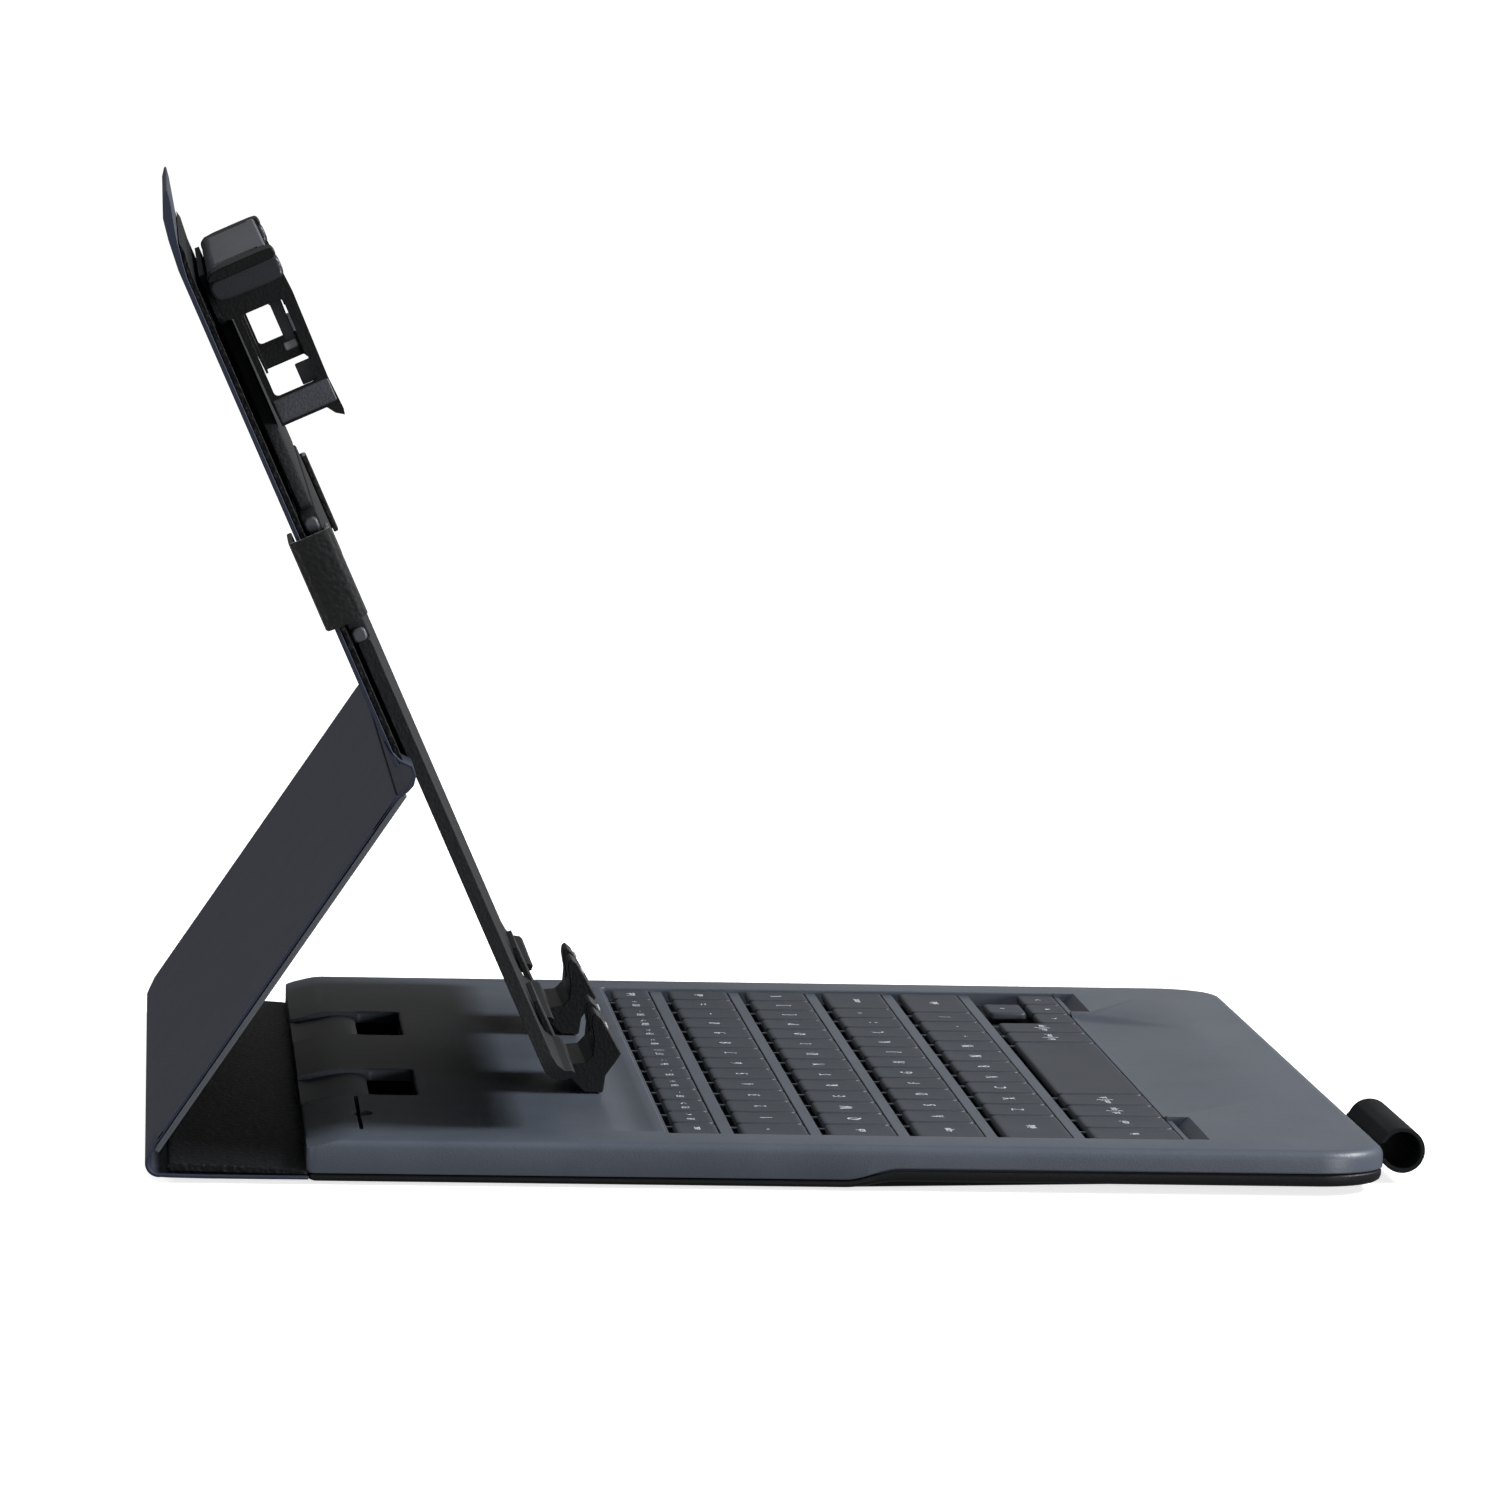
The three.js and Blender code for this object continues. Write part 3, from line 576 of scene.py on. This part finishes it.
def key_row(node, row, spans, marks):
    """The caps of one body, the carrier that joins them and their legends."""
    y0, y1 = ROWS[row]
    caps = [keycap(a, b, y0, y1) for a, b in spans]
    if len(spans) > 1:
        web = prism(node + "_carrier", [(y0 + 1, KEY_LOW), (y1 - 1, KEY_LOW), (y1 - 1, 6.62),
                                        (y0 + 1, 6.62)],
                    spans[0][0] + 1, spans[-1][1] - 1, world)
        piece(web, node, "well", "key_plastic")
    piece(merge(node + "_caps", caps), node, "key", "key_plastic", node)
    shapes = []
    for (a, b), mark in zip(spans, marks):
        x, y = (a + b) / 2, (y0 + y1) / 2
        if isinstance(mark, tuple):
            shapes += [legend(mark[0], x - PAIR_OFFSET, y, PAIR),
                       legend(mark[1], x + PAIR_OFFSET, y, PAIR)]
            if row == "space":
                shapes.append(divider(x, y, 0.3, 3.4))
        elif mark:
            letter = len(mark) == 1 and not row.startswith(("function", "arrow"))
            shapes.append(legend(mark, x, y, LETTER if letter else WORD))
    if shapes:
        piece(merge(node + "_legends", shapes), node, "legend", "key_plastic", angle=20)


key_row("key_escape", "function", singles(0, 0), ["esc"])
key_row("keys_function_row", "function", singles(1, 12),
        [(f"F{i}", s) for i, s in zip(range(1, 13), "<>-+.:|=<>-+")])
key_row("key_lock", "function", singles(13, 13), ["lock"])
key_row("keys_number_row", "number", singles(0, 12), list("`1234567890-="))
key_row("key_backspace", "number", singles(13, 13), ["del"])
key_row("key_tab", "upper", singles(0, 0), ["tab"])
key_row("keys_upper_row", "upper", singles(1, 13), list("QWERTYUIOP[]\\"))
key_row("key_caps", "home", [CAPS], ["caps"])
key_row("keys_home_row", "home", HOME, list("ASDFGHJKL;'"))
key_row("key_enter", "home", [ENTER], ["enter"])
key_row("key_shift_left", "lower", [column(0, 1)], ["shift"])
key_row("keys_lower_row", "lower", singles(2, 11), list("ZXCVBNM,./"))
key_row("key_shift_right", "lower", [column(12, 13)], ["shift"])
key_row("keys_modifier_left", "space", singles(0, 3),
        ["fn", "ctrl", ("alt", "opt"), ("cmd", "alt")])
key_row("key_space", "space", [column(4, 8)], [""])
key_row("keys_modifier_right", "space", singles(9, 10), [("alt", "cmd"), ("ctrl", "opt")])
for name, row, col, mark in (("left", "arrow_low", 11, "<"), ("down", "arrow_low", 12, "v"),
                             ("right", "arrow_low", 13, ">"), ("up", "arrow_high", 12, "^")):
    key_row("key_arrow_" + name, row, singles(col, col), [mark])

# ---- folding cover ------------------------------------------------------------
FOLD_STEPS = 30
STRUT_END = 84.2

# spine: grained lining above the skin
spine_lining = prism("spine_lining", [
    (102.8, 1.2), (128.6, 1.6), (129.4, 2.2), (129.2, 3.0), (128.2, 3.25), (116, 2.8),
    (104, 2.25), (102.8, 2.1)], -HALF_W + 0.6, HALF_W - 0.6, world, 40)
soften(spine_lining, 0.25)
piece(spine_lining, "base", "lining", "cover_lining", "spine_board")


def fold_skin(name, centre_line, thick):
    """A strip of skin across a fold; its section follows centre_line, given as (y, z)."""
    left, right = [], []
    for i, p in enumerate(centre_line):
        a = centre_line[max(0, i - 1)]
        b = centre_line[min(len(centre_line) - 1, i + 1)]
        d = Vector((b[0] - a[0], b[1] - a[1])).normalized()
        left.append((p[0] - d.y * thick / 2, p[1] + d.x * thick / 2))
        right.append((p[0] + d.y * thick / 2, p[1] - d.x * thick / 2))
    o = prism(name, left + right[::-1], -HALF_W, HALF_W, world, FOLD_STEPS)
    soften(o, 0.2)
    o.data.materials.append(M["skin"])
    apply(o)
    smooth(o)
    return o


# skin that runs under the spine, round the rear hinge and up the strut
line = [(102.6, 0.75), (112, 0.72), (122, 0.72), (128.6, 0.8)]
line += arc(HINGE[0] - 0.3, HINGE[1] + 0.25, 2.3, -100, 25, 12)
line += [section_yz(strut, 3.2, 2.7), section_yz(strut, 6, 2.66)]
hinge_skin = fold_skin("hinge_skin", line, 0.7)
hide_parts("spine_skin")
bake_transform(hinge_skin)

# strut: outer skin panel and the lighter board under it
skin_panel = prism("strut_outer", [
    (4.0, 2.35), (4.0, 2.9), (4.4, 3.05), (STRUT_END - 3, 3.02), (STRUT_END - 1, 2.9),
    (STRUT_END - 1, 2.35)], -HALF_W, HALF_W, strut, FOLD_STEPS)
soften(skin_panel, 0.2)
piece(skin_panel, "strut", "skin", "cover_skin", "strut_skin")
board = prism("strut_inner", [(1.9, 1.05), (1.9, 2.2), (STRUT_END - 0.2, 2.15),
                              (STRUT_END, 1.0)],
              -HALF_W + 0.15, HALF_W - 0.15, strut, FOLD_STEPS)
soften(board, 0.25)
piece(board, "strut", "edge", "edge_grey", "strut_board")

# crease skin from the strut's face round the nose and up the cover
line = [section_yz(strut, STRUT_END - 9, 2.66), section_yz(strut, STRUT_END - 4, 2.62),
        section_yz(strut, STRUT_END - 1.5, 2.4), section_yz(strut, STRUT_END + 0.8, 1.6),
        (84.4, 75.6), (84.0, 77.4), (84.5, 79.0),
        section_yz(cover, 1.2, -0.6), section_yz(cover, 3.5, -1.5),
        section_yz(cover, 6, -1.72)]
crease_skin = fold_skin("crease_skin", line, 0.6)
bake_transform(crease_skin)

# upper panel: skin that thins to a lip at the top, and the board inside it
cover_outer = prism("cover_outer", [
    (0.3, -1.05), (0.3, -1.7), (0.8, -1.9), (40, -1.9), (80, -1.9), (102.2, -1.9),
    (108.2, -1.35), (112.2, -0.7), (115, 0.45), (116.6, 1.6), (116.8, 2.0), (116.4, 2.1),
    (114.2, 1.75), (111.2, 1.05), (107.2, 0.1), (103.2, -0.55), (100.2, -0.95),
    (60, -1.02), (30, -1.02)], -HALF_W, HALF_W, cover, 2)
boolean(cover_outer, slab("cut", rounded(HALF_W + 0.01, -5, 117.2, 1, 12, 14), -6, 6, cover),
        "INTERSECT")
soften(cover_outer, 0.25)
piece(cover_outer, "cover", "skin", "cover_skin", "cover_skin", angle=25)
cover_inner = prism("cover_inner", [
    (0.6, 0.05), (0.6, -0.9), (99.2, -0.85), (103.7, -0.4), (106.8, 0.25), (105.2, 0.55),
    (100.2, 0.1), (60, 0.05)], -HALF_W + 0.8, HALF_W - 0.8, cover, 2)
boolean(cover_inner, slab("cut", rounded(HALF_W, -5, 108.2, 1, 8, 14), -6, 6, cover),
        "INTERSECT")
soften(cover_inner, 0.25)
piece(cover_inner, "cover", "lining", "cover_lining", "cover_board", angle=25)

# ---- holder -------------------------------------------------------------------
PLATE_HALF_W, BAR_HALF_W = 118, 103
CLAWS = ((-63, -31), (31, 63))


def plate_on_cover(name, x, s0, s1, r, t0, t1):
    """A flat plate with rounded corners and softened faces, from t0 to t1."""
    rings = []
    for d, t in ((0.35, t0), (0, t0 + 0.35), (0, t1 - 0.45), (0.15, t1 - 0.15), (0.5, t1)):
        corner = max(r - d, 0.4)
        rings.append([cover(px, ps, t)
                      for px, ps in rounded(x - d, s0 + d, s1 - d, corner, corner, 8)])
    return loft(name, rings)


hub = plate_on_cover("holder_rail", 128, 24, 50, 6, 0.3, 3.8)
for a, b in ((-62.4, -37.6), (37.6, 62.4)):
    boolean(hub, cover_box("cut", a, b, 26, 60, 1.2, 2.9))
for x in (-20, 20):
    boolean(hub, cover_box("cut", x - 2, x + 2, 28, 60, 0.9, 3.3))
piece(hub, "cover", "plate", "plate_plastic", "hub_rail", angle=30)
for side, tag in SIDES:
    for k, s in enumerate((48.2, 25.6)):
        knob = prism(f"rail_knob_{tag}_{k}", rounded(3.3, s - 1.3, s + 1.3, 0.9, 0.9, 5, 0.6),
                     *sided(side, 121.5, 128.6), cover_ts)
        soften(knob, 0.4, 3)
        piece(knob, "cover", "edge", "plate_plastic")

lower = prism("holder_lower_plate", [
    (23.4, 0.9), (23.4, 3.1), (23.0, 3.5), (-64, 3.5), (-66, 3.75), (-67.6, 4.6),
    (-68.3, 5.9), (-69.0, 6.3), (-69.8, 5.6), (-69.7, 4.2), (-69.0, 2.8), (-67.8, 1.6),
    (-66.2, 0.95), (-64, 0.9)], -PLATE_HALF_W, PLATE_HALF_W, cover, 2)
boolean(lower, slab("cut", rounded(PLATE_HALF_W + 0.01, -71, 30, 8, 1, 10), -2, 9, cover),
        "INTERSECT")
for a, b in CLAWS:
    boolean(lower, cover_box("cut", a - 0.4, b + 0.4, -80, -59.5, 3.5, 10))
soften(lower, 0.25)
piece(lower, "cover", "plate", "plate_plastic", "lower_back_plate", angle=30)

slide = plate_on_cover("holder_slide_plate", PLATE_HALF_W, 50.6, 89, 1.5, 0.9, 3.5)
boolean(slide, cover_box("cut", -98, 98, 87, 98.6, 0.9, 1.9), "UNION")
for a, b in ((-62, -38), (38, 62)):
    boolean(slide, cover_box("cut", a, b, 28, 52, 1.5, 2.6), "UNION")
piece(slide, "top_slide", "plate", "plate_plastic", "slide_plate", angle=30)

top_bar = prism("holder_top_bar", [
    (95, 2.5), (95, 14.6), (95.4, 15), (99.1, 15), (99.5, 14.6), (99.5, 4.6), (99.2, 3.5),
    (98.5, 2.6), (97.4, 2.2), (95.3, 2.2)], -BAR_HALF_W, BAR_HALF_W, cover, 2)
boolean(top_bar, cover_box("cut", -98, 98, 89.4, 95.4, 2.3, 3.6), "UNION")
for side, _ in SIDES:
    boolean(top_bar, cover_box("cut", *sided(side, 70, 104), 95.8, 98.2, 5.6, 10.4))
    boolean(top_bar, prism("cut", rounded(13.4, 98.5, 100.5, 0.6, 0.6, 6, 4.4),
                           *sided(side, 96, 104), cover_ts))
soften(top_bar, 0.2)
# the bar takes the lighter copy of the edge grey, which is painted light
piece(top_bar, "top_slide", "bar", "edge_grey", "top_bar", angle=30)

# corner grips: rubber frame, glossy band, rubber lip, arm into the bar and inner pads
GRIP_FRAME = [(67.4, 4.3), (67.4, 13.4), (65.8, 14.5), (64.8, 16.0), (66.0, 16.25),
              (72.6, 15.9), (90, 16.2), (94.4, 15.9), (94.4, 2.2), (90.1, 2.2), (89.6, 3.9),
              (72, 4.1)]
GRIP_BAND = clip_corners([(93.3, 3.2), (93.0, 15.4), (94.2, 16.2), (96.9, 16.2), (98.0, 15.2),
                          (98.0, 3.4), (96.6, 1.9), (94.4, 2.1)])
GRIP_LIP = clip_corners([(97.2, 2.2), (98.4, 2.3), (99.35, 3.8), (99.4, 13.8), (99.2, 15.8),
                         (97.9, 16.2), (97.3, 15.6)])


def tablet_corner(side):
    """The room a tablet's corner takes inside a grip."""
    return cover_box("cut", *sided(side, 100, 122.5), 60, 94.6, 4.8, 13.7)


for side, tag in SIDES:
    body = "grip_" + tag
    grip = prism(body + "_frame", GRIP_FRAME, *sided(side, 104, 127), cover, 2)
    boolean(grip, tablet_corner(side))
    boolean(grip, prism("cut", rounded(13.9, 72.8, 89.6, 0.9, 0.9, 5, 5.3),
                        *sided(side, 120, 130), cover_ts))
    boolean(grip, cover_box("cut", *sided(side, 100, 121), 60, 88, 13, 18))
    soften(grip, 0.3)
    piece(grip, body, "rubber", "rubber", body, angle=30)
    # a thin plate on the grip's outer face; its lighter colour is painted light on the lower
    # band, and its speckle is grain
    painted_light_band = cover_box(body + "_sole", *sided(side, 126.4, 127.4), 67.9, 72.5, 4.4, 15.8)
    soften(painted_light_band, 0.35, 3)
    piece(painted_light_band, body, "painted_light_band", "rubber")
    band = prism(body + "_band", GRIP_BAND, *sided(side, 103.7, 127.5), cover, 2)
    boolean(band, tablet_corner(side))
    soften(band, 0.6, 3)
    piece(band, body, "gloss", "rubber", angle=30)
    lip = prism(body + "_lip", GRIP_LIP, *sided(side, 103.6, 127.8), cover, 2)
    soften(lip, 0.5, 3)
    piece(lip, body, "rubber", "rubber", angle=30)
    arm = cover_box(body + "_arm", *sided(side, 74, 106), 96.2, 97.8, 6, 10)
    soften(arm, 0.2)
    piece(arm, body, "rubber", "rubber")
    pad = cover_box(body + "_pad", *sided(side, 105, 122.2), 92.2, 94.3, 5.1, 13.4)
    boolean(pad, cover_box("cut", *sided(side, 120.2, 122.2), 80.4, 93, 11.2, 13.4), "UNION")
    soften(pad, 0.25)
    piece(pad, body, "edge", "plate_plastic", "grip_pad_" + tag)
    low_pad = cover_box(body + "_low_pad", *sided(side, 120.2, 122.2), 72.8, 77, 11, 14.3)
    soften(low_pad, 0.25)
    piece(low_pad, body, "edge", "plate_plastic")
    stop = cover_box(body + "_stop", *sided(side, 122.3, 123.6), 80.0, 81.6, 10.6, 13.2)
    soften(stop, 0.3)
    piece(stop, body, "pin", "plate_plastic")

# lower claws, with a light stud at each end and three ribs underneath
CLAW = [(-60, 3.8), (-60, 5), (-72, 5.2), (-74.4, 6.2), (-75.2, 8.6), (-74.4, 10.6),
        (-71.8, 12.0), (-68.4, 12.9), (-67.2, 13.6), (-67.0, 14.4), (-68.4, 15.1),
        (-70.3, 15.3), (-76.4, 15.9), (-77.4, 14.4), (-79.2, 11.3), (-81.9, 9.6),
        (-82.05, 9.2), (-80.6, 6.1), (-76, 4.2), (-71, 3.8)]
for tag, (a, b) in zip(("left", "right"), CLAWS):
    claw = prism("claw_hook_" + tag, CLAW, a, b, cover, 2)
    boolean(claw, cover_box("cut", a + 11, b - 11, -72.5, -60, 11.4, 18))
    soften(claw, 0.4, 3)
    piece(claw, "cover", "rubber", "rubber", "claw_" + tag, angle=30)
    for k, x in enumerate((a + 1.2, b - 1.2)):
        stud = cover_box(f"claw_stud_{tag}_{k}", x - 1.0, x + 1.0, -70.9, -69.5, 12.8, 15.6)
        soften(stud, 0.3, 3)
        piece(stud, "cover", "pin", "plate_plastic")
    for k in range(3):
        rib = cover_box(f"claw_rib_{tag}_{k}", a + 2, b - 2, -80.9 + 1.1 * k,
                        -80.3 + 1.1 * k, 9.2 + 0.9 * k, 10.2 + 0.9 * k)
        soften(rib, 0.2)
        piece(rib, "cover", "rubber", "rubber")

# elastic straps round the cover's side edges: a C-shaped section in (x, t), swept along s
STRAP_LINE = [(104, -2.9), (118, -2.95), (131, -2.95), (134.4, -2.75), (135.6, -1.8),
              (135.75, 0), (135.75, 2.2), (135.5, 3.6), (134.6, 4.4), (131, 4.55), (121, 4.5)]
STRAP_START, STRAP_WIDTH, STRAP_STEPS = 29, 18, 24
outer, inner = [], []
for i, (x, t) in enumerate(STRAP_LINE):
    p, q = STRAP_LINE[max(0, i - 1)], STRAP_LINE[min(len(STRAP_LINE) - 1, i + 1)]
    d = Vector((q[0] - p[0], q[1] - p[1])).normalized()
    outer.append((x + d.y * 0.55, t - d.x * 0.55))
    inner.append((x - d.y * 0.5, t + d.x * 0.5))
for side, tag in SIDES:
    strap = loft("strap_band_" + tag, [
        [cover(side * x, STRAP_START + STRAP_WIDTH * i / STRAP_STEPS, t)
         for x, t in outer + inner[::-1]] for i in range(STRAP_STEPS + 1)])
    soften(strap, 0.25)
    piece(strap, "cover", "strap", "strap_fabric", "strap_" + tag)

# ---- pen sleeve ---------------------------------------------------------------
PEN_AXIS = (-108.9, 5.9)
sleeve = prism("pen_sleeve", [(-104.15, 6.9)] + arc(*PEN_AXIS, 4.42, 26, 334, 40)
               + [(-104.15, 3.95), (-105.0, 4.2)] + arc(*PEN_AXIS, 3.62, 334, 26, 40)
               + [(-105.0, 7.3)], -114, -70, world, 20)
soften(sleeve, 0.2)
piece(sleeve, "base", "sleeve", "strap_fabric", "pen_loop")

# ---- CAD nodes kept as they are, with a material --------------------------------
KEPT = {"key_support_plate": "steel", "membrane_sheet": "silicone", "circuit_board": "board",
        "coin_cell_left": "metal", "coin_cell_right": "metal", "power_switch": "rubber",
        "connect_button": "rubber", "status_lens": "lens", "foot_front_left": "rubber",
        "foot_front_right": "rubber", "foot_rear_left": "rubber",
        "foot_rear_right": "rubber", "stop_magnet_left": "metal",
        "stop_magnet_right": "metal", "slide_spring_left": "metal",
        "slide_spring_right": "metal"}
for name, mat in KEPT.items():
    for s in frame["nodes"][name].material_slots:
        s.material = M[mat]

# ---- stage, light, camera -----------------------------------------------------
FLOOR_HALF, FLOOR_Z, FLOOR_GREY, FLOOR_GLOW = 60, -0.0006, 0.85, 0.75
SKY_DIFFUSE, SKY_GLOSSY, SKY_SEEN = 0.34, 0.14, 1.1
EYE = (-1672.124, 134.38, 218.147)
YAW, PITCH_DOWN, ROLL, LENS = 0.0737, 0.0872, 0.0227, 196.69056

white = bpy.data.materials.new("stage_white")
white.use_nodes = True
stage_bsdf = white.node_tree.nodes["Principled BSDF"]
stage_bsdf.inputs["Base Color"].default_value = (FLOOR_GREY, FLOOR_GREY, FLOOR_GREY, 1)
stage_bsdf.inputs["Roughness"].default_value = 1.0
stage_bsdf.inputs["Specular IOR Level"].default_value = 0.0
stage_bsdf.inputs["Emission Color"].default_value = (1, 1, 1, 1)
stage_bsdf.inputs["Emission Strength"].default_value = FLOOR_GLOW
floor = mesh_object("floor", [(x * FLOOR_HALF, y * FLOOR_HALF, FLOOR_Z)
                              for x, y in ((-1, -1), (1, -1), (1, 1), (-1, 1))],
                    [(0, 1, 2, 3)])
floor.data.materials.append(white)
floor.visible_glossy = False
floor.visible_diffuse = False

# the sky has one strength for diffuse rays, one for glossy rays and one for the camera
sky = bpy.data.worlds.new("studio")
bpy.context.scene.world = sky
sky.use_nodes = True
nodes, link = sky.node_tree.nodes, sky.node_tree.links.new
path = nodes.new("ShaderNodeLightPath")
lit = nodes.new("ShaderNodeMix")
lit.inputs["A"].default_value, lit.inputs["B"].default_value = SKY_DIFFUSE, SKY_GLOSSY
link(path.outputs["Is Glossy Ray"], lit.inputs["Factor"])
seen = nodes.new("ShaderNodeMix")
seen.inputs["B"].default_value = SKY_SEEN
link(path.outputs["Is Camera Ray"], seen.inputs["Factor"])
link(lit.outputs["Result"], seen.inputs["A"])
nodes["Background"].inputs["Color"].default_value = (1, 1, 1, 1)
link(seen.outputs["Result"], nodes["Background"].inputs["Strength"])


def area(name, position, target, size, power):
    data = bpy.data.lights.new(name, "AREA")
    data.shape, data.size, data.size_y = "RECTANGLE", size[0], size[1]
    data.energy = power
    o = bpy.data.objects.new(name, data)
    bpy.context.scene.collection.objects.link(o)
    o.location = position
    o.visible_camera = False
    o.rotation_euler = (Vector(target) - Vector(position)).to_track_quat("-Z", "Y").to_euler()


area("key", (-0.2, -1.2, 1.1), (0, -0.03, 0.03), (0.7, 0.5), 34)
area("side", (-1.35, -1.05, 0.2), (0, -0.02, 0.03), (0.6, 0.25), 10)
area("rim", (-0.5, 1.3, 0.5), (0, 0.08, 0.05), (0.6, 0.3), 6)
area("far_side", (1.5, -0.5, 0.2), (0, -0.1, 0.02), (0.8, 0.4), 0.45)

scene = bpy.context.scene
scene.view_settings.view_transform = "Standard"
scene.view_settings.look = "None"

cam_data = bpy.data.cameras.new("camera")
cam = bpy.data.objects.new("camera", cam_data)
scene.collection.objects.link(cam)
cam_data.sensor_width = 36
cam_data.lens = LENS
cam_data.clip_start, cam_data.clip_end = 0.05, 50
forward = Vector((math.cos(YAW) * math.cos(PITCH_DOWN), -math.sin(YAW) * math.cos(PITCH_DOWN),
                  -math.sin(PITCH_DOWN)))
level_right = forward.cross(Vector((0, 0, 1))).normalized()
level_up = level_right.cross(forward)
right = level_right * math.cos(ROLL) + level_up * math.sin(ROLL)
up = -level_right * math.sin(ROLL) + level_up * math.cos(ROLL)
rot = Matrix((right, up, -forward)).transposed()
cam.matrix_world = Matrix.Translation(world(*EYE)) @ rot.to_4x4()
scene.camera = cam
